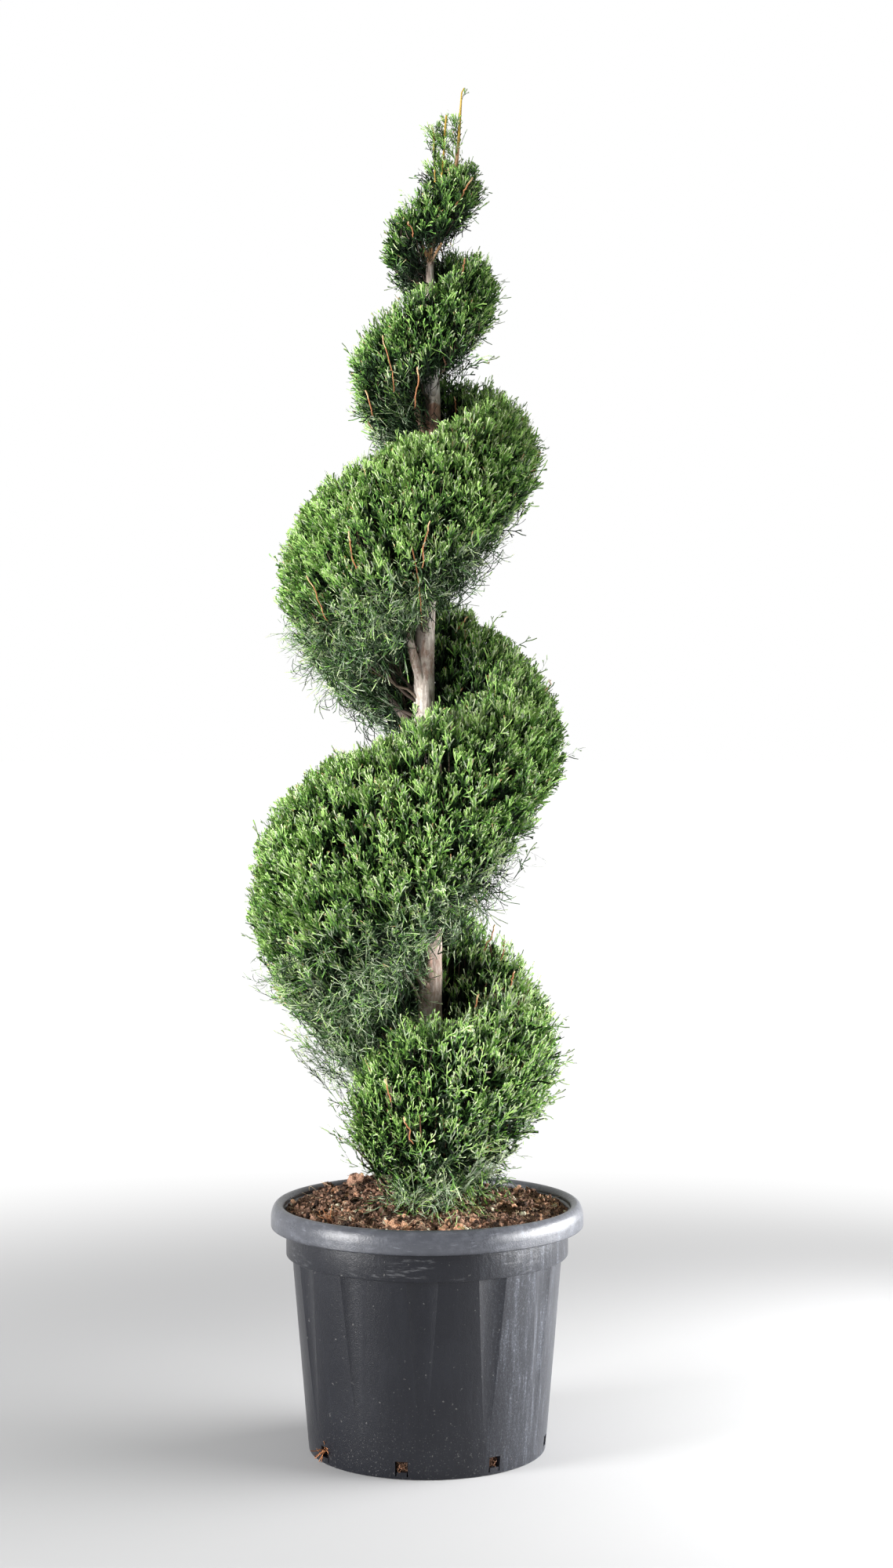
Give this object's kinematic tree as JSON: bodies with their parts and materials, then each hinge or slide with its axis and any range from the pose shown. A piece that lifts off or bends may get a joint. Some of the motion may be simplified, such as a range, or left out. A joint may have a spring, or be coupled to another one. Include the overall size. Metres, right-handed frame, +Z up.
{
  "type": "spiral topiary conifer in a nursery pot",
  "caption": "Evergreen conifer clipped as a climbing spiral round a straight bare trunk, standing in a round tapered nursery pot of soil.",
  "frame": {"origin": "middle of the pot's flat underside, on the ground", "axes": "+Z up along the pot's axis; -Y towards the front, the side on which the lowest lobe of the spiral starts; +X to the right seen from the front"},
  "size_m": [0.5095, 0.4974, 2.04],
  "materials": {
    "pot_plastic": "satin",
    "potting_soil": "matte",
    "bark": "matte",
    "foliage": "matte"
  },
  "bodies": {
    "root": {"pot": "pot_plastic", "soil": "potting_soil", "trunk": "bark", "bough_01": "bark", "foliage_01": "foliage", "bough_02": "bark", "foliage_02": "foliage", "bough_03": "bark", "foliage_03": "foliage", "bough_04": "bark", "foliage_04": "foliage", "bough_05": "bark", "foliage_05": "foliage", "bough_06": "bark", "foliage_06": "foliage", "bough_07": "bark", "foliage_07": "foliage", "bough_08": "bark", "foliage_08": "foliage", "bough_09": "bark", "foliage_09": "foliage", "bough_10": "bark", "foliage_10": "foliage", "bough_11": "bark", "foliage_11": "foliage", "bough_12": "bark", "foliage_12": "foliage", "bough_13": "bark", "foliage_13": "foliage", "bough_14": "bark", "foliage_14": "foliage", "foliage_top": "foliage"}
  },
  "joints": []
}
